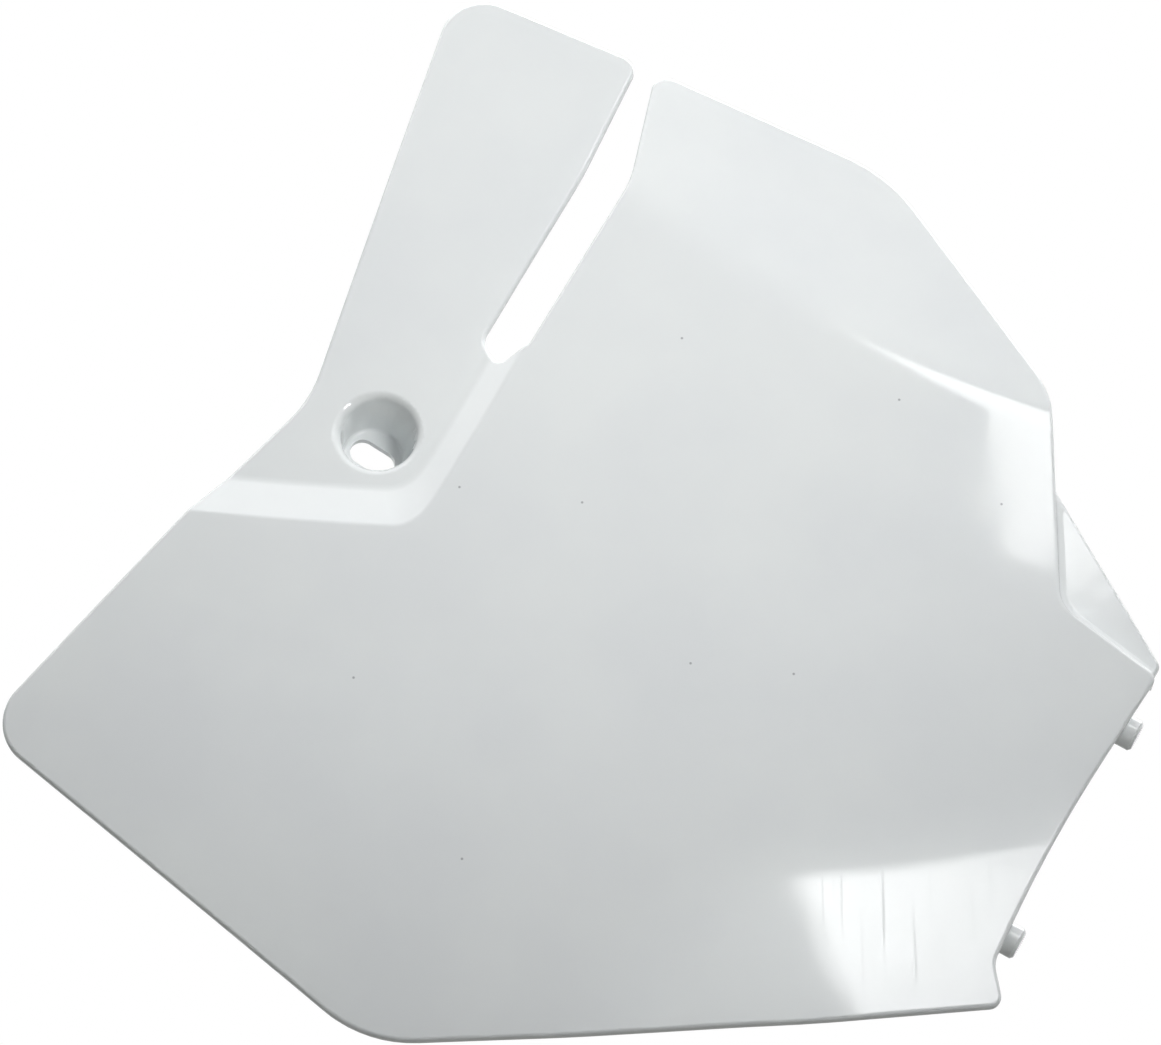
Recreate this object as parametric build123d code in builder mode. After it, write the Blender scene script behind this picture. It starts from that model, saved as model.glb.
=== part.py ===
# Racing number board: the right-hand side panel of an off-road motorbike, moulded in one piece.
# Millimetres. X points forward on the bike, Z up, and the number side faces -Y.
# The origin is the middle of the screw slot, on the back of the screw cup, where the frame lug touches.
# Heights are measured outwards from that back face, so a height h lies at Y = -h.
import os
from math import cos, radians, sin, sqrt, tan

from build123d import *

# Skin: wall thickness, and the rounding along the front edge
wall = 2.5
edge_round = 1.2

# Crown of the number field: part of a large ball
crown_radius = 2000.0
crown_peak = 30.0
crown_x = 80.0
crown_z = -50.0

# Fold along the right edge, which that whole edge is set out from: its bend and its lower end, x, z
fold_x = 192.2
fold_corner = (fold_x, -52.4)
fold_end = (fold_x + 26.3, -72.8)
fold_radius = 10.0

# Outline of the field and the arm, seen from the front, clockwise from the left tip: x, z, corner radius
outline = [
    (-105.5, -86.0, 13.5),
    (-47.5, -21.2, 400.0),
    (-16.7, 10.8, 36.0),
    (23.5, 142.3, 12.5),
    (76.5, 116.6, 5.0),
    (60.2, 80.0, 120.0),
    (31.5, 27.4, 6.0),
    (37.0, 19.35, 2.5),
    (45.3, 25.3, 4.0),
    (73.7, 76.0, 30.0),
    (81.2, 113.7, 4.5),
    (148.1, 81.4, 45.0),
    (fold_x - 0.3, 11.3, 24.0),
    (*fold_corner, fold_radius),
    (*fold_end, 2.5),
    (fold_x - 3.8, -118.4, 400.0),
    (fold_x - 21.6, -156.0, 8.0),
    (fold_x - 19.6, -168.9, 3.5),
    (122.0, -173.4, 300.0),
    (72.0, -174.1, 300.0),
    (1.5, -176.3, 38.0),
]

# Top band of the field, bent back
band_line = ((73.0, 74.6), (fold_x - 0.9, 3.9))
band_fall = 12.0
band_bend = 60.0

# Lower right corner of the field, flared outwards, with a ramp up to it from the left
flare_line = ((fold_x - 10.4, -115.5), (fold_x - 90.2, -125.2))
flare_rise = 9.3
flare_bend = 90.0
ramp_line = ((fold_x - 92.2, -127.0), (fold_x - 122.2, -166.0))
ramp_rise = 12.0
ramp_ridge = 200.0

# Step from the field down to the arm and the screw tab: two sloping walls that meet in a corner
step_height = 5.5
step_low_slope = 24.0
step_side_slope = 35.0
step_left = (-48.5, -24.4)
step_corner = (13.9, -30.3)
step_right = (44.5, 25.2)
step_corner_radius = 26.0
step_crest_inside = 0.7
step_foot = 6.5

# Ear: a lower leaf outside the right edge, joined to the field by a wall along the fold
ear_drop = 4.5
ear_fall = 4.0
ear_start = (fold_x - 6.2, -4.8)
ear_tip = (fold_x + 27.8, -68.4)
ear_heel = (fold_x + 20.8, -79.5)
ear_inside = (fold_x - 8.2, -62.0)
ear_tip_radius = 2.5
ear_foot = 3.0

# Screw cup, sunk from the arm to the frame lug
slot_length = 13.8
slot_width = 7.6
slot_angle = -31.6
cup_tilt = 7.2
cup_land = 1.8
cup_draft = 6.1
cup_wall = 2.3
cup_floor = 2.5
cup_rim = 2.5
cup_floor_round = 1.0
cup_foot_round = 1.5

# Two locating pegs on tabs behind the right edge
peg_radius = 4.5
peg_length = 10.0
peg_spacing = 68.4
peg_angle = -30.0
peg_root = (fold_x + 12.25, -82.8)
peg_depth = 9.3
peg_lead_in = 0.8
tab_shoulder = 2.5
tab_thickness = 3.0
gusset_length = 15.0
gusset_thickness = 2.0

# Sine of the largest tilt at which a face still counts as upright
upright_tilt = 0.01


def crown_height(x, z):
    """How far the crowned field stands out from the frame lug."""
    return crown_peak - crown_radius + sqrt(crown_radius**2 - (x - crown_x) ** 2 - (z - crown_z) ** 2)


def on_crown(x, z):
    return Vector(x, -crown_height(x, z), z)


def leaf(start, end, fall):
    """Plane through two points of the crown that falls away to the left of the line between them."""
    first = on_crown(*start)
    along = (on_crown(*end) - first).normalized()
    left = Vector(start[1] - end[1], 0, end[0] - start[0]).normalized()
    down = left * cos(radians(fall)) + Vector(0, 1, 0) * sin(radians(fall))
    return Plane(origin=first, x_dir=along, z_dir=along.cross(down))


def on_plane(plane, x, z):
    """The point of a plane that is seen at x, z from the front."""
    normal, origin = plane.z_dir, plane.origin
    return Vector(x, origin.Y - (normal.X * (x - origin.X) + normal.Z * (z - origin.Z)) / normal.Y, z)


def nearest_edge(builder, point):
    return builder.edges().sort_by_distance(point)[0]


# The raw block that the skin is carved from stands clear of the outline all round
corners = [(x, z) for x, z, radius in outline]
radii = [radius for x, z, radius in outline]
half_depth = 2 * crown_peak
x_low, x_high = min(x for x, z in corners), max(x for x, z in corners)
z_low, z_high = min(z for x, z in corners), max(z for x, z in corners)
block_size = (x_high - x_low + 2 * half_depth, 2 * half_depth, z_high - z_low + 2 * half_depth)
block_centre = ((x_low + x_high) / 2, 0, (z_low + z_high) / 2)

# Where the leaves, the step, the fold, the ear, the cup and the pegs come to lie
ball = (crown_x, crown_radius - crown_peak, crown_z)
band = leaf(*band_line, band_fall)
flare = leaf(*flare_line, -flare_rise)
ramp = leaf(*ramp_line, -ramp_rise)
step_low = leaf(step_left, step_corner, step_low_slope)
step_side = leaf(step_corner, step_right, step_side_slope)
step_crest = step_crest_inside + wall
crest_inside = step_low.offset(-wall).from_local_coords((step_height, 0, 0))
ear = leaf(ear_start, ear_tip, ear_fall).offset(-ear_drop)
fold_far_x = 2 * fold_end[0] - fold_corner[0]
fold_far_z = 2 * fold_end[1] - fold_corner[1]
ear_run = (fold_x - ear_start[0]) / (ear_tip[0] - ear_start[0])
fold_top = ear_start[1] + ear_run * (ear_tip[1] - ear_start[1]) - wall
fold_middle = (fold_top + fold_corner[1]) / 2
ear_edge_run = (1 + ear_run) / 2
ear_edge_x = ear_start[0] + ear_edge_run * (ear_tip[0] - ear_start[0])
ear_edge_z = ear_start[1] + ear_edge_run * (ear_tip[1] - ear_start[1])
cup_top = crown_height(0, 0) - step_height
cup_reach = cup_top + wall
cup_floor_radius = slot_length / 2 + cup_land
cup_mouth_radius = cup_floor_radius + (cup_top - cup_floor) * tan(radians(cup_draft))
cup_reach_radius = cup_floor_radius + (cup_reach - cup_floor) * tan(radians(cup_draft))
cup_plane = Plane.XY.rotated((0, 0, cup_tilt))
cup_axis = Axis((0, 0, 0), cup_plane.y_dir)
cup_mouth = cup_plane.from_local_coords((0, -cup_top, cup_mouth_radius))
cup_floor_edge = cup_plane.from_local_coords((0, -cup_floor, cup_floor_radius))
cup_boss_edge = cup_plane.from_local_coords((0, wall - cup_top, cup_mouth_radius + cup_wall))
peg_out = Vector(cos(radians(peg_angle)), 0, sin(radians(peg_angle)))
tab_plane = Plane(
    origin=on_crown(*peg_root) + Vector(0, peg_depth, 0),
    x_dir=(-peg_out.Z, 0, peg_out.X),
    z_dir=peg_out,
)
tab_radius = peg_radius + tab_shoulder
tab_rise = peg_depth + 2 * wall
peg_shifts = (0, -peg_spacing)


def crowned_block(inset):
    """The raw block with the field's crown, bend and flare, moved back by inset."""
    with BuildPart() as flared:
        with Locations(block_centre):
            Box(*block_size)
        split(bisect_by=flare.offset(-inset), keep=Keep.BOTTOM)
        split(bisect_by=ramp.offset(-inset), keep=Keep.BOTTOM)
        fillet(nearest_edge(flared, on_crown(*ramp_line[0])), ramp_ridge - inset)

    with BuildPart() as block:
        with Locations(block_centre):
            Box(*block_size)
        with Locations(ball):
            Sphere(crown_radius - inset, mode=Mode.INTERSECT)
        split(bisect_by=band.offset(-inset), keep=Keep.BOTTOM)
        fillet(nearest_edge(block, on_crown(*band_line[0])), band_bend - inset)
        add(flared.part)
        fillet(nearest_edge(block, on_crown(*flare_line[0])), flare_bend + inset)
    return block.part


def step_cutter(inset):
    """What is cut away above the arm: two sloping walls, a round corner and a crowned floor."""
    low = step_low.offset(-inset)
    foot_point = low.from_local_coords((step_height, step_height / sin(radians(step_low_slope)), 0))
    with BuildPart() as cutter:
        with Locations(block_centre):
            Box(*block_size)
        split(bisect_by=low, keep=Keep.TOP)
        split(bisect_by=step_side.offset(-inset), keep=Keep.TOP)
        fillet(nearest_edge(cutter, on_crown(*step_corner)), step_corner_radius + inset)
        with Locations(ball):
            Sphere(crown_radius - step_height - inset, mode=Mode.SUBTRACT)
        fillet(nearest_edge(cutter, foot_point), step_foot + inset)
    return cutter.part


def ear_block(inset, margin):
    """The ear's leaf, moved back by inset and grown by margin."""
    with BuildPart() as block:
        with BuildSketch(Plane.XZ.offset(-half_depth)):
            add(ear_plan.sketch)
            if margin:
                offset(amount=margin, kind=Kind.INTERSECTION)
        extrude(amount=block_size[1])
        split(bisect_by=ear.offset(-inset), keep=Keep.BOTTOM)
    return block.part


# Plans: the outline, the ear, and the space outside the fold that stands clear of the field
with BuildSketch() as plan:
    with BuildLine():
        FilletPolyline(*corners, radius=radii, close=True)
    make_face()

with BuildSketch() as ear_plan:
    with BuildLine():
        FilletPolyline(
            ear_start,
            ear_tip,
            ear_heel,
            ear_inside,
            (ear_inside[0], ear_start[1]),
            radius=[0, ear_tip_radius, 0, 0, 0],
            close=True,
        )
    make_face()

with BuildSketch() as fold_plan:
    with BuildLine():
        FilletPolyline(
            (fold_x, fold_top),
            fold_corner,
            (fold_far_x, fold_far_z),
            (fold_far_x, fold_top),
            radius=[0, fold_radius, 0, 0],
            close=True,
        )
    make_face()
    offset(amount=wall)

# The front body: everything behind the front skin
with BuildPart() as front:
    add(crowned_block(0))
    with BuildSketch(Plane.XZ.offset(-half_depth)):
        add(plan.sketch)
    extrude(amount=block_size[1], mode=Mode.INTERSECT)
    add(step_cutter(0), mode=Mode.SUBTRACT)
    fillet(nearest_edge(front, on_crown(*step_left)), step_crest)
    sides = front.faces().filter_by(lambda face: abs(face.normal_at().Y) < upright_tilt)
    upright = sides.edges().filter_by(Axis.Y)
    deep = sides.edges().filter_by(lambda edge: edge.center().Y > half_depth - wall)
    fillet([edge for edge in sides.edges() if edge not in upright + deep], edge_round)
    add(ear_block(0, 0))
    fillet(nearest_edge(front, on_plane(ear, ear_edge_x, ear_edge_z)), edge_round)
    fillet(nearest_edge(front, on_plane(ear, fold_x, fold_middle)), ear_foot)

# The hollow behind the skin
with BuildPart() as hollow:
    add(crowned_block(wall))
    with BuildSketch(Plane.XZ.offset(-half_depth)):
        add(plan.sketch)
        offset(amount=edge_round)
        add(fold_plan.sketch, mode=Mode.SUBTRACT)
    extrude(amount=block_size[1], mode=Mode.INTERSECT)
    add(step_cutter(wall), mode=Mode.SUBTRACT)
    fillet(nearest_edge(hollow, crest_inside), step_crest_inside)
    add(ear_block(wall, edge_round))

# Behind the skin: the screw cup's boss, and a tab with a gusset for each peg
with BuildPart() as bosses:
    with BuildSketch(cup_plane):
        with BuildLine():
            Polyline(
                (0, 0),
                (cup_floor_radius + cup_wall, 0),
                (cup_reach_radius + cup_wall, -cup_reach),
                (0, -cup_reach),
                close=True,
            )
        make_face()
    revolve(axis=cup_axis)
    with BuildSketch(tab_plane):
        with Locations(*[(shift, 0) for shift in peg_shifts]):
            Circle(tab_radius)
            Rectangle(2 * tab_radius, tab_rise, align=(Align.CENTER, Align.MIN))
    extrude(amount=-tab_thickness)
    for shift in peg_shifts:
        tab_back = tab_plane.from_local_coords((shift, 0, -tab_thickness))
        with BuildSketch(Plane(origin=tab_back, x_dir=-peg_out, z_dir=tab_plane.x_dir)):
            with BuildLine():
                Polyline((0, tab_rise), (0, -peg_radius), (gusset_length, tab_rise), close=True)
            make_face()
        extrude(amount=gusset_thickness / 2, both=True)

with BuildPart() as space:
    add(hollow.part)
    add(bosses.part, mode=Mode.SUBTRACT)

# The board: the front body less the space behind it, with the cup, the slot and the pegs
with BuildPart() as board:
    add(front.part)
    add(space.part, mode=Mode.SUBTRACT)
    with BuildSketch(cup_plane):
        with BuildLine():
            Polyline(
                (0, -cup_floor),
                (cup_floor_radius, -cup_floor),
                (cup_reach_radius, -cup_reach),
                (0, -cup_reach),
                close=True,
            )
        make_face()
    revolve(axis=cup_axis, mode=Mode.SUBTRACT)
    with BuildSketch(Plane(origin=(0, 0, 0), x_dir=cup_plane.x_dir, z_dir=-cup_plane.y_dir)):
        SlotOverall(slot_length, slot_width, rotation=slot_angle)
    extrude(amount=cup_top, mode=Mode.SUBTRACT)
    with BuildSketch(tab_plane):
        with Locations(*[(shift, 0) for shift in peg_shifts]):
            Circle(peg_radius)
    extrude(amount=peg_length)
    for shift in peg_shifts:
        peg_end = tab_plane.from_local_coords((shift, peg_radius, peg_length))
        chamfer(nearest_edge(board, peg_end), peg_lead_in)
    fillet(nearest_edge(board, cup_mouth), cup_rim)
    fillet(nearest_edge(board, cup_floor_edge), cup_floor_round)
    fillet(nearest_edge(board, cup_boss_edge), cup_foot_round)

board.part.label = "number_board"
os.makedirs("parts", exist_ok=True)
export_step(board.part, "parts/number_board.step")
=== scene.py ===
# %% [markdown]
# # A racing number board, dressed for a studio picture
#
# The board is the right-hand side panel of an off-road motorbike: one skin of glossy white plastic that
# carries the race number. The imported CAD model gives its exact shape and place, so this lesson starts by
# loading it. Everything after that is about how the board looks: its smooth skin, its plastic, the light.

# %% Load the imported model
from math import cos, pi, radians, sin, sqrt, tan

import bpy
import numpy as np
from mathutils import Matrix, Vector


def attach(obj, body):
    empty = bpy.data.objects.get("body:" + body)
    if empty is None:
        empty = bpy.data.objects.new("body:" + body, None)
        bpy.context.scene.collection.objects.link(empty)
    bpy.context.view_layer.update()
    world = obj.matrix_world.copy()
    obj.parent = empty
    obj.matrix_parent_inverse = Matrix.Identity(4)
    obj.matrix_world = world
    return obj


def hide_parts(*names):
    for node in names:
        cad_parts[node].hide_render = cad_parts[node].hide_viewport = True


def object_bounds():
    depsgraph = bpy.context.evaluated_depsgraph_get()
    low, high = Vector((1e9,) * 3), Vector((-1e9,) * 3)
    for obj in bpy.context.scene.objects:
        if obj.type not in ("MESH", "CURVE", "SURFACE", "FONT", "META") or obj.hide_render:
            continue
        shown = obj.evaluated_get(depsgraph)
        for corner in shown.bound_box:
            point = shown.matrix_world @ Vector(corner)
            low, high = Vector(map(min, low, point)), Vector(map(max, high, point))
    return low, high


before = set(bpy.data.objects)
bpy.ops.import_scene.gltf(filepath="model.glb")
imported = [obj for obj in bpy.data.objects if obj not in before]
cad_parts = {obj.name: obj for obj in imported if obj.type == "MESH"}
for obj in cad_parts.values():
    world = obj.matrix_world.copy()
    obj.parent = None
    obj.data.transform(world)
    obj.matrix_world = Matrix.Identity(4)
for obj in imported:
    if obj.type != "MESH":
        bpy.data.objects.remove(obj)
cad_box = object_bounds()
cad_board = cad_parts["number_board"]
scene = bpy.context.scene
scene.view_settings.view_transform = "Standard"
print("board from the CAD:", len(cad_board.data.polygons), "triangles")

# %% [markdown]
# ## Camera
#
# The picture looks as if it was taken with a long lens from below the board's middle: the lower rims show,
# and the far parallel edges hardly converge. A lens of about 156 mm on a 36 mm sensor does the same.

# %% Camera below the board, looking up at it
camera_data = bpy.data.cameras.new("camera")
camera = bpy.data.objects.new("camera", camera_data)
scene.collection.objects.link(camera)
camera.location = (0.0595, -1.3436, -0.5077)
camera.rotation_euler = (radians(110), 0, 0)
camera_data.sensor_width = 36
camera_data.lens = 156.28
camera_data.clip_end = 50
scene.camera = camera
print("camera", [round(v, 4) for v in camera.location], "lens", round(camera_data.lens, 2), "mm")

# %% [markdown]
# ## The board's mesh
#
# The CAD node is right in size and place, but it is made of long flat triangles, and a mirror-like skin
# shows every one of them as a scallop in its highlights. The CAD node itself is never changed. A copy of it
# is joined into one closed mesh here, and the next steps give that copy the smooth skin that a polished mould
# leaves.

# %% A closed copy of the CAD node
same_point = 1e-6  # metres
board = bpy.data.objects.new("board", cad_board.data.copy())
scene.collection.objects.link(board)
bpy.ops.object.select_all(action="DESELECT")
board.select_set(True)
bpy.context.view_layer.objects.active = board
bpy.ops.object.mode_set(mode="EDIT")
bpy.ops.mesh.select_all(action="SELECT")
bpy.ops.mesh.customdata_custom_splitnormals_clear()
bpy.ops.mesh.remove_doubles(threshold=same_point)
bpy.ops.object.mode_set(mode="OBJECT")
print("copy:", len(board.data.vertices), "points,", len(board.data.polygons), "faces")

# %% [markdown]
# ## The true skin
#
# The number field is part of a large ball. Its top band is a flat leaf that is bent back, its lower right
# corner is two leaves that flare out to the viewer, and the arm lies lower, behind two sloping walls. A
# point's distance to a ball or to a plane is one line of arithmetic, and the distance to a bend that runs
# smoothly from one into the other takes a few more. The front and the back skin are the same shapes, with the
# back one a wall's thickness deeper. Sizes here are in millimetres, X forward, Z up, with the number side
# towards -Y.

# %% The ball and the flat leaves
wall = 2.5
ball_radius = 2000.0
ball_centre = np.array((80.0, 1970.0, -50.0))
fold_x = 192.2
ear_drop = 4.5


def on_ball(x, z):
    """The point of the ball that is seen at x, z from the front."""
    depth = sqrt(ball_radius**2 - (x - ball_centre[0])**2 - (z - ball_centre[2])**2)
    return np.array((x, ball_centre[1] - depth, z))


def leaf(start, end, fall):
    """A plane through two points of the ball, falling back to the left of their line, as point and normal."""
    first = on_ball(*start)
    along = on_ball(*end) - first
    left = np.array((start[1] - end[1], 0, end[0] - start[0]))
    down = left / np.linalg.norm(left) * cos(radians(fall)) + np.array((0, sin(radians(fall)), 0))
    normal = np.cross(along, down)
    return first, normal / np.linalg.norm(normal)


band = leaf((73.0, 74.6), (fold_x - 0.9, 3.9), 12)
flare = leaf((fold_x - 10.4, -115.5), (fold_x - 90.2, -125.2), -9.3)
ramp = leaf((fold_x - 92.2, -127.0), (fold_x - 122.2, -166.0), -12)
step_low = leaf((-48.5, -24.4), (13.9, -30.3), 24)
step_side = leaf((13.9, -30.3), (44.5, 25.2), 35)
ear = leaf((fold_x - 6.2, -4.8), (fold_x + 27.8, -68.4), 4)
print("band faces", np.round(band[1], 3), "and flare faces", np.round(flare[1], 3))

# %% Distances to the skin, and the way it faces
band_bend = 60
ridge_bend = 200
flare_bend = 90
step_drop = 5.5
step_corner = 26
step_foot = 6.5
step_crest = 3.2
tiny = 1e-9  # keeps a division away from nought
parallel = 1e-6  # skins that lean apart less than this have no bend between them


def ball_skin(points, inset):
    """How far points stand outside the ball, moved inwards by inset, and which way it faces there."""
    out = points - ball_centre
    far = np.linalg.norm(out, axis=1)
    return far - ball_radius + inset, out / far[:, None]


def leaf_skin(points, plane, inset):
    """The same for a flat leaf."""
    first, normal = plane
    return (points - first) @ normal + inset, np.tile(normal, (len(points), 1))


def bent(one, other, radius):
    """Two skins joined by a bend of that radius: round outwards, or hollow where the radius is negative."""
    turn, radius = np.sign(radius), abs(radius)
    far_one, far_other = turn * one[0], turn * other[0]
    face_one, face_other = turn * one[1], turn * other[1]
    lean = (face_one * face_other).sum(1)
    spread = np.maximum(1 - lean**2, tiny)
    share_one = (far_one + radius - lean * (far_other + radius)) / spread
    share_other = (far_other + radius - lean * (far_one + radius)) / spread
    from_axis = face_one * share_one[:, None] + face_other * share_other[:, None]
    reach = np.maximum(np.linalg.norm(from_axis, axis=1), tiny)
    in_bend = (share_one > 0) & (share_other > 0) & (spread > parallel)
    nearer = np.where((far_one > far_other)[:, None], face_one, face_other)
    far = np.where(in_bend, reach - radius, np.maximum(far_one, far_other))
    face = np.where(in_bend[:, None], from_axis / reach[:, None], nearer)
    return turn * far, turn * face


def board_skin(points, inset):
    """Distance to the board's skin and the way it faces: the front at inset 0, the back at the wall's."""
    field = bent(ball_skin(points, inset), leaf_skin(points, band, inset), band_bend - inset)
    corner = bent(leaf_skin(points, flare, inset), leaf_skin(points, ramp, inset), ridge_bend - inset)
    field = bent(field, corner, -flare_bend - inset)
    low_wall, side_wall = leaf_skin(points, step_low, inset), leaf_skin(points, step_side, inset)
    walls = bent(low_wall, side_wall, -step_corner - inset)
    arm = bent(ball_skin(points, step_drop + inset), walls, -step_foot - inset)
    return bent(field, arm, step_crest - inset)


# %% [markdown]
# ## Which faces belong to the skin
#
# Rims, the screw cup and the pegs stay as the CAD has them. A face belongs to the skin if its corners lie on
# it and it faces the same way. The faces get a number that they keep while they are cut up: 1 and 2 for the
# front and the back, 3 and 4 for those of the ear, which is a flat leaf set back behind the right edge.

# %% Mark the skin's faces
per_metre = 1000  # millimetres
skin_reach = 0.06  # millimetres
skin_lean = 7  # degrees
ear_left = fold_x - 10
first_ear_mark = 3


def mesh_array(items, name, width):
    """One property of all vertices, faces or corners as an array."""
    values = np.zeros(len(items) * width)
    items.foreach_get(name, values)
    return values.reshape(-1, width)


def degrees_between(one, other):
    """The angle between each pair of directions."""
    return np.degrees(np.arccos(np.clip((one * other).sum(1), -1, 1)))


points = per_metre * mesh_array(board.data.vertices, "co", 3)
corners = mesh_array(board.data.polygons, "vertices", 3).astype(int)
centres = points[corners].mean(1)
facing = mesh_array(board.data.polygons, "normal", 3)

# each side of the skin: its mark, 1 for a front or -1 for a back, and the function that measures it
sides = (
    (1, 1, lambda p: board_skin(p, 0)),
    (2, -1, lambda p: board_skin(p, wall)),
    (3, 1, lambda p: leaf_skin(p, ear, ear_drop)),
    (4, -1, lambda p: leaf_skin(p, ear, ear_drop + wall)),
)
marks = np.zeros(len(corners), int)
for mark, outwards, skin in sides:
    on_skin = np.abs(skin(points)[0])[corners].max(1) < skin_reach
    along_skin = degrees_between(facing, outwards * skin(centres)[1]) < skin_lean
    in_place = (mark < first_ear_mark) | (centres[:, 0] > ear_left)
    marks[on_skin & along_skin & in_place] = mark
board.data.attributes.new("skin", "INT", "FACE").data.foreach_set("value", marks)
print("faces of front, back and the ear's two sides:", np.bincount(marks)[1:])

# %% [markdown]
# ## Cutting and settling
#
# Planes every 5 mm cut the whole mesh in both directions, as bisect does by hand. That leaves small, nearly
# square faces in place of the long ones. Each new point lies on a flat triangle, so it is up to a tenth of a
# millimetre off. It moves to the true skin, and the shading takes the skin's own direction there.

# %% Cut the faces small
cut_width = 0.005  # metres
cut_lead = 0.15  # of a width, by which all cuts are moved to the low side
bpy.ops.object.mode_set(mode="EDIT")
for axis in (0, 2):
    for cut in range(1, int((cad_box[1][axis] - cad_box[0][axis]) / cut_width) + 1):
        place, normal = Vector(), Vector()
        place[axis] = cad_box[0][axis] + cut_width * (cut - cut_lead)
        normal[axis] = 1
        bpy.ops.mesh.select_all(action="SELECT")
        bpy.ops.mesh.bisect(plane_co=place, plane_no=normal, threshold=same_point)
bpy.ops.mesh.select_all(action="SELECT")
bpy.ops.mesh.quads_convert_to_tris()
bpy.ops.object.mode_set(mode="OBJECT")
print("cut:", len(board.data.vertices), "points,", len(board.data.polygons), "triangles")

# %% Settle the points on the skin, and keep them in the CAD's box
points = per_metre * mesh_array(board.data.vertices, "co", 3)
corners = mesh_array(board.data.polygons, "vertices", 3).astype(int)
marks = mesh_array(board.data.attributes["skin"].data, "value", 1)[:, 0].astype(int)
turned = np.zeros_like(points)
for mark, outwards, skin in sides:
    settled = np.unique(corners[marks == mark])
    off, face = skin(points[settled])
    points[settled] -= off[:, None] * face
    turned[settled] = outwards * face
    print("side", mark, "settled", len(settled), "points by up to", round(np.abs(off).max(), 3), "mm")
low, high = (per_metre * np.array(corner) for corner in cad_box)
points = np.clip(points, low, high)
board.data.vertices.foreach_set("co", (points / per_metre).ravel())
board.data.update()

# %% Shade it smooth, with the skin's own direction on the skin
smooth_angle = radians(32)
shading_lean = 30  # degrees
bpy.ops.object.shade_smooth_by_angle(angle=smooth_angle)
corner_points = mesh_array(board.data.loops, "vertex_index", 1)[:, 0].astype(int)
facing = mesh_array(board.data.polygons, "normal", 3)
shading = mesh_array(board.data.corner_normals, "vector", 3)
wanted = turned[corner_points]
near_face = degrees_between(np.repeat(facing, 3, axis=0), wanted) < shading_lean
on_skin = (np.abs(wanted).sum(1) > 0) & near_face
shading[on_skin] = wanted[on_skin]
board.data.normals_split_custom_set(shading)
board.data.attributes.remove(board.data.attributes["skin"])
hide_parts("number_board")
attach(board, "root")
print("shaded", int(on_skin.sum()), "of", len(on_skin), "corners as the skin lies")

# %% [markdown]
# ## The plastic
#
# Boards like this are injection-moulded from polypropylene with white pigment. The front half of the mould is
# polished, so the number side is glossy, but the melt shrinks as it cools and leaves a faint waviness in what
# the skin mirrors, and a board that has been handled has hairline scuffs and a few specks. The back half of
# the mould is only spark-eroded, which leaves a fine matt grain, and the round pins that push the board out
# of it leave rings. Both finishes are made from noise and cell patterns, with their sizes in millimetres.

# %% One function for colours, one for nodes, and the white that both finishes share
mm = 0.001
plastic_ior = 1.49
patch_size = 45 * mm
mix_first, mix_second, mixed = 6, 7, 2  # a Mix node's two colour inputs and its colour output
upright = (radians(90), 0, 0)  # lays a flat pattern along the board's X and Z


def linear(hex_colour):
    """An sRGB hex colour as the linear RGBA that shaders take."""
    parts = [int(hex_colour[i:i + 2], 16) / 255 for i in (1, 3, 5)]
    return [p / 12.92 if p <= 0.04045 else ((p + 0.055) / 1.055) ** 2.4 for p in parts] + [1.0]


def add_node(tree, kind, links=(), inputs=(), **settings):
    """Adds a node, sets its properties and input values, and links (input, node, output) triples to it."""
    node = tree.nodes.new(kind)
    for name, value in settings.items():
        setattr(node, name, value)
    for socket, value in dict(inputs).items():
        node.inputs[socket].default_value = value
    for socket, source, output in links:
        tree.links.new(source.outputs[output], node.inputs[socket])
    return node


def uneven_white(tree, darker, lighter, smoother, rougher):
    """Pigment that is not quite evenly mixed: the coordinates, its patches, the colour and the roughness."""
    place = add_node(tree, "ShaderNodeTexCoord")
    patches = add_node(tree, "ShaderNodeTexNoise", [("Vector", place, "Object")],
                       {"Scale": 1 / patch_size, "Detail": 3.0})
    tone = add_node(tree, "ShaderNodeMapRange", [("Value", patches, 0)], {"From Min": 0.35, "From Max": 0.65})
    white = add_node(tree, "ShaderNodeMix", [("Factor", tone, 0)],
                     {mix_first: linear(darker), mix_second: linear(lighter)}, data_type="RGBA")
    dull = add_node(tree, "ShaderNodeMapRange", [("Value", tone, 0)], {"To Min": smoother, "To Max": rougher})
    return place, patches, white, dull


# %% Polished front: white polypropylene that mirrors softly, a little wavy, with scuffs and specks
front_plastic = bpy.data.materials.new("moulded_polypropylene")
front_plastic.use_nodes = True
tree = front_plastic.node_tree
gloss = tree.nodes["Principled BSDF"]
gloss.inputs["IOR"].default_value = plastic_ior
place, patches, white, dull = uneven_white(tree, "#e6e9ea", "#eaeded", 0.065, 0.09)
flat = add_node(tree, "ShaderNodeMapping", [("Vector", place, "Object")], {"Rotation": upright})

# specks 0.7 mm wide, in about one of seven cells 30 mm wide
speck_cell, speck_core, speck_rim = 30 * mm, 0.25 * mm, 0.45 * mm
speck_limit = 0.86
speck_range = {"From Min": speck_core / speck_cell, "From Max": speck_rim / speck_cell,
               "To Min": 1.0, "To Max": 0.0}
cells = add_node(tree, "ShaderNodeTexVoronoi", [("Vector", flat, 0)], {"Scale": 1 / speck_cell},
                 voronoi_dimensions="2D")
dots = add_node(tree, "ShaderNodeMapRange", [("Value", cells, "Distance")], speck_range)
chosen = add_node(tree, "ShaderNodeSeparateColor", [("Color", cells, "Color")])
some = add_node(tree, "ShaderNodeMath", [(0, chosen, 0)], {1: speck_limit}, operation="GREATER_THAN")
specks = add_node(tree, "ShaderNodeMath", [(0, dots, 0), (1, some, 0)], operation="MULTIPLY")
spotted = add_node(tree, "ShaderNodeMix", [("Factor", specks, 0), (mix_first, white, mixed)],
                   {mix_second: linear("#b0b3b5")}, data_type="RGBA")
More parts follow.
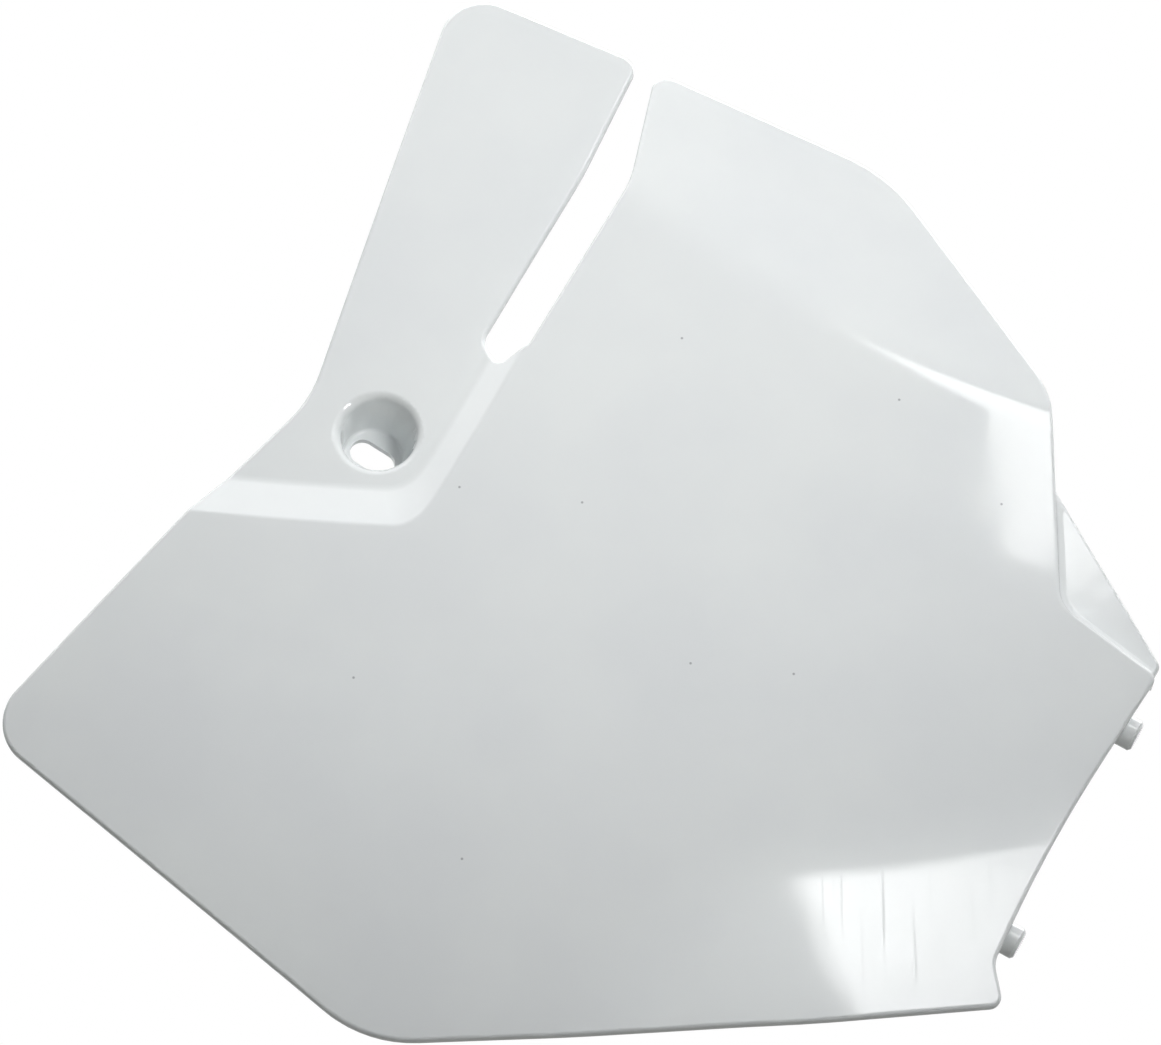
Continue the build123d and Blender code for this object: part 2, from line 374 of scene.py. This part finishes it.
tree.links.new(spotted.outputs[mixed], gloss.inputs["Base Color"])

# hairline scuffs about 1 mm by 60 mm, drawn wider than real ones so that they show, in some places only
scuff_width, scuff_length, scuff_lean = 1 * mm, 60 * mm, radians(14)
scuff_roughness = 0.14
leaning = add_node(tree, "ShaderNodeMapping", [("Vector", flat, 0)],
                   {"Rotation": (0, 0, scuff_lean), "Scale": (1 / scuff_width, 1 / scuff_length, 1)})
streaks = add_node(tree, "ShaderNodeTexNoise", [("Vector", leaning, 0)], {"Scale": 1.0, "Detail": 1.0},
                   noise_dimensions="2D")
thin = add_node(tree, "ShaderNodeMapRange", [("Value", streaks, 0)], {"From Min": 0.66, "From Max": 0.75})
worn = add_node(tree, "ShaderNodeMapRange", [("Value", patches, 0)], {"From Min": 0.48, "From Max": 0.62})
scuffs = add_node(tree, "ShaderNodeMath", [(0, thin, 0), (1, worn, 0)], operation="MULTIPLY")
rough = add_node(tree, "ShaderNodeMath", [(0, scuffs, 0), (2, dull, 0)], {1: scuff_roughness},
                 operation="MULTIPLY_ADD")
tree.links.new(rough.outputs[0], gloss.inputs["Roughness"])

# shrinkage waves about 11 mm long and a few hundredths of a millimetre high
wave_length, wave_height = 11 * mm, 0.05 * mm
waves = add_node(tree, "ShaderNodeTexNoise", [("Vector", place, "Object")],
                 {"Scale": 1 / wave_length, "Detail": 1.0})
wavy = add_node(tree, "ShaderNodeBump", [("Height", waves, 0)], {"Strength": 1.0, "Distance": wave_height})
tree.links.new(wavy.outputs[0], gloss.inputs["Normal"])
print("front plastic:", len(tree.nodes), "nodes")

# %% Matt back: the same plastic with a spark-eroded grain and the rings of the ejector pins
back_plastic = bpy.data.materials.new("moulded_polypropylene_matt")
back_plastic.use_nodes = True
tree = back_plastic.node_tree
matt = tree.nodes["Principled BSDF"]
matt.inputs["IOR"].default_value = plastic_ior
place, _, white, dull = uneven_white(tree, "#e2e5e5", "#e8eaea", 0.36, 0.46)
tree.links.new(dull.outputs[0], matt.inputs["Roughness"])

# eroded grain about 0.8 mm wide, drawn coarser than real so that it shows
grain_width, grain_height = 0.8 * mm, 0.1 * mm
grain = add_node(tree, "ShaderNodeTexNoise", [("Vector", place, "Object")],
                 {"Scale": 1 / grain_width, "Detail": 2.0})
grainy = add_node(tree, "ShaderNodeBump", [("Height", grain, 0)], {"Strength": 1.0, "Distance": grain_height})

# ejector pins 8 mm across in rows 68 mm apart, set where none of them meets an edge: a ring 0.1 mm deep,
# drawn in a darker grey and 1.2 mm wide, which is wider than real, so that it shows
pin_spacing, pin_radius, ring_half, ring_depth = 68 * mm, 4 * mm, 0.6 * mm, 0.1 * mm
pin_x, pin_z = 18 * mm, 18 * mm
rows = add_node(tree, "ShaderNodeMapping", [("Vector", place, "Object")],
                {"Location": (-pin_x, pin_z, 0), "Rotation": upright})
pins = add_node(tree, "ShaderNodeTexVoronoi", [("Vector", rows, 0)],
                {"Scale": 1 / pin_spacing, "Randomness": 0.0}, voronoi_dimensions="2D")
from_ring = add_node(tree, "ShaderNodeMath", [(0, pins, "Distance")], {1: pin_radius / pin_spacing},
                     operation="SUBTRACT")
off_ring = add_node(tree, "ShaderNodeMath", [(0, from_ring, 0)], operation="ABSOLUTE")
rings = add_node(tree, "ShaderNodeMapRange", [("Value", off_ring, 0)], {"From Max": ring_half / pin_spacing})
ringed = add_node(tree, "ShaderNodeBump", [("Height", rings, 0), ("Normal", grainy, 0)],
                  {"Strength": 1.0, "Distance": ring_depth})
tree.links.new(ringed.outputs[0], matt.inputs["Normal"])
# the ring's groove is coloured darker grey (#c9cbca) than the plastic around it
darker_rings = add_node(tree, "ShaderNodeMix", [("Factor", rings, 0), (mix_second, white, mixed)],
                  {mix_first: linear("#c9cbca")}, data_type="RGBA")
tree.links.new(darker_rings.outputs[mixed], matt.inputs["Base Color"])
print("back plastic:", len(tree.nodes), "nodes")

# %% Put the finishes on: matt behind, but glossy in the screw cup, on the ear's face and on the pegs
depth_play = 0.05  # millimetres
half_turned = 0.5  # the least Y in the normal of a face that looks out of the front or the back
cup_reach = 13
ear_low = -82
pegs_high = -79
peg_foot = np.array((208.4, -16.6, -85.1))
peg_way = np.array((0.866, 0, -0.5))
centres = points[corners].mean(1)
behind = board_skin(centres, wall)[0] < depth_play
from_screw = np.linalg.norm(centres[:, (0, 2)], axis=1)
inwards = (facing[:, (0, 2)] * centres[:, (0, 2)]).sum(1) < 0
in_cup = (from_screw < cup_reach) & (inwards | (facing[:, 1] < -half_turned))
before_ear = (leaf_skin(centres, ear, ear_drop + wall)[0] > depth_play) & (facing[:, 1] < half_turned)
on_ear = before_ear & (centres[:, 0] > fold_x) & (centres[:, 2] > ear_low)
on_peg = ((centres - peg_foot) @ peg_way > 0) & (centres[:, 2] < pegs_high)
matt_faces = behind & ~in_cup & ~on_ear & ~on_peg
board.data.materials.clear()
board.data.materials.append(front_plastic)
board.data.materials.append(back_plastic)
board.data.polygons.foreach_set("material_index", matt_faces.astype(np.int32))
board.data.update()
print("matt faces", int(matt_faces.sum()), "of", len(corners))

# %% [markdown]
# ## Light
#
# A glossy white thing shows its lamps, so each lamp is placed where one part of the board mirrors it to the
# camera, or where none does. Directions are given as seen from a point on the board or before it, looking
# out of its front: how far to the right, as the camera sees it, and how high. A narrow spread keeps a lamp to
# the part that it is meant for, as a honeycomb grid does.

# %% Lamps
def lamp(name, shape, aim, right, up, distance, size, brightness, spread=180):
    """A soft lamp, seen from the point aim at two angles in degrees; brightness is its radiance ahead."""
    across, height, half = radians(right), radians(up), radians(spread / 2)
    data = bpy.data.lights.new(name, "AREA")
    data.shape = shape
    data.size, data.size_y = size
    data.spread = 2 * half
    area = size[0] * size[1] * (pi / 4 if shape == "ELLIPSE" else 1)
    data.energy = brightness * pi * area * (1 - half / tan(half))
    light = bpy.data.objects.new(name, data)
    scene.collection.objects.link(light)
    towards = Vector((cos(height) * sin(across), -cos(height) * cos(across), sin(height)))
    light.location = Vector(aim) + distance * towards
    light.rotation_euler = (-towards).to_track_quat("-Z", "Y").to_euler()
    print("lamp", name, [round(v, 2) for v in light.location], round(data.energy, 4), "W")


# a softbox that the right edge, the ear and the end of the bend mirror
lamp("right_lamp", "RECTANGLE", (0.18, -0.026, 0.0), right=19.0, up=26.6, distance=1.5,
     size=(0.42, 0.41), brightness=7.5)
# a cloth overhead, which lights the upper part most and is mirrored by the step and the bent-back band
lamp("canopy", "RECTANGLE", (0.06, -0.175, -0.03), right=0, up=90, distance=0.65,
     size=(1.3, 0.65), brightness=1.32)
# fill to the right of the camera, for the arm, the middle and the inside of the screw cup
lamp("fill", "ELLIPSE", (0.035, -0.02, 0.06), right=26, up=-10, distance=1.1,
     size=(0.3, 0.3), brightness=34.0, spread=36)
# a softbox far to the left, which only the step's side wall mirrors
lamp("left_lamp", "ELLIPSE", (0.03, -0.02, 0.0), right=-79, up=47, distance=0.8,
     size=(0.5, 0.5), brightness=1.0)
# a gridded softbox that only the flared corner mirrors
lamp("flare_lamp", "ELLIPSE", (0.160, -0.032, -0.162), right=3.4, up=35.1, distance=0.5,
     size=(0.28, 0.066), brightness=13.0, spread=12)
# a softbox high behind the board, so that its back is lit as plainly as its front
lamp("back_lamp", "RECTANGLE", (0.06, -0.02, 0.0), right=160, up=55, distance=1.2,
     size=(1.2, 0.8), brightness=4.2)

# %% [markdown]
# ## Ground
#
# The camera sees a white world and a pale floor, and so does anything that mirrors. The light that they send
# on to the board is dimmer, as from a table out of the lamps' way, which leaves the lower rims dark.

# %% World: white behind the board, a dim dome on it
def seen_or_mirrored(tree):
    """A node that is 1 for what is seen directly, mirrored or through glass, and 0 for other light."""
    path = add_node(tree, "ShaderNodeLightPath")
    seen = add_node(tree, "ShaderNodeMath", [(0, path, "Is Camera Ray"), (1, path, "Is Glossy Ray")],
                    operation="MAXIMUM")
    return add_node(tree, "ShaderNodeMath", [(0, seen, 0), (1, path, "Is Transmission Ray")],
                    operation="MAXIMUM")


world = bpy.data.worlds.new("studio")
scene.world = world
world.use_nodes = True
tree = world.node_tree
tree.nodes.clear()
dome = add_node(tree, "ShaderNodeBackground", inputs={"Color": linear("#eef1f3"), "Strength": 0.36})
backdrop = add_node(tree, "ShaderNodeBackground", inputs={"Color": linear("#ffffff"), "Strength": 1.0})
mix = add_node(tree, "ShaderNodeMixShader", [(0, seen_or_mirrored(tree), 0), (1, dome, 0), (2, backdrop, 0)])
add_node(tree, "ShaderNodeOutputWorld", [("Surface", mix, 0)])
print("world:", len(tree.nodes), "nodes")

# %% Floor: a pale sheet of paper with a faint fibre
floor_width, floor_height = 30, -0.8  # metres
bpy.ops.object.select_all(action="DESELECT")
bpy.ops.mesh.primitive_plane_add(size=floor_width, location=(0, 0, floor_height))
floor = bpy.context.object
floor.name = "floor"
paper = bpy.data.materials.new("backdrop_paper")
paper.use_nodes = True
tree = paper.node_tree
sheet = tree.nodes["Principled BSDF"]
sheet.inputs["Roughness"].default_value = 0.85

# tufts of fibre about 6 mm wide, drawn coarser than real ones so that they show
fibre_width = 6 * mm
place = add_node(tree, "ShaderNodeTexCoord")
fibre = add_node(tree, "ShaderNodeTexNoise", [("Vector", place, "Object")],
                 {"Scale": 1 / fibre_width, "Detail": 4.0})
pale = add_node(tree, "ShaderNodeMix", [("Factor", fibre, 0)],
                {mix_first: linear("#e9e9e7"), mix_second: linear("#f2f2f0")}, data_type="RGBA")

# pale with a little glow where it is seen, and grey for the light that it sends on
paper_glow = 0.36
seen = seen_or_mirrored(tree)
paper_colour = add_node(tree, "ShaderNodeMix", [("Factor", seen, 0), (mix_second, pale, mixed)],
                        {mix_first: linear("#6a6a66")}, data_type="RGBA")
glow = add_node(tree, "ShaderNodeMath", [(0, seen, 0)], {1: paper_glow}, operation="MULTIPLY")
tree.links.new(paper_colour.outputs[mixed], sheet.inputs["Base Color"])
tree.links.new(pale.outputs[mixed], sheet.inputs["Emission Color"])
tree.links.new(glow.outputs[0], sheet.inputs["Emission Strength"])
floor.data.materials.append(paper)
print("floor at z", round(floor.location.z, 2), "with", len(tree.nodes), "nodes")
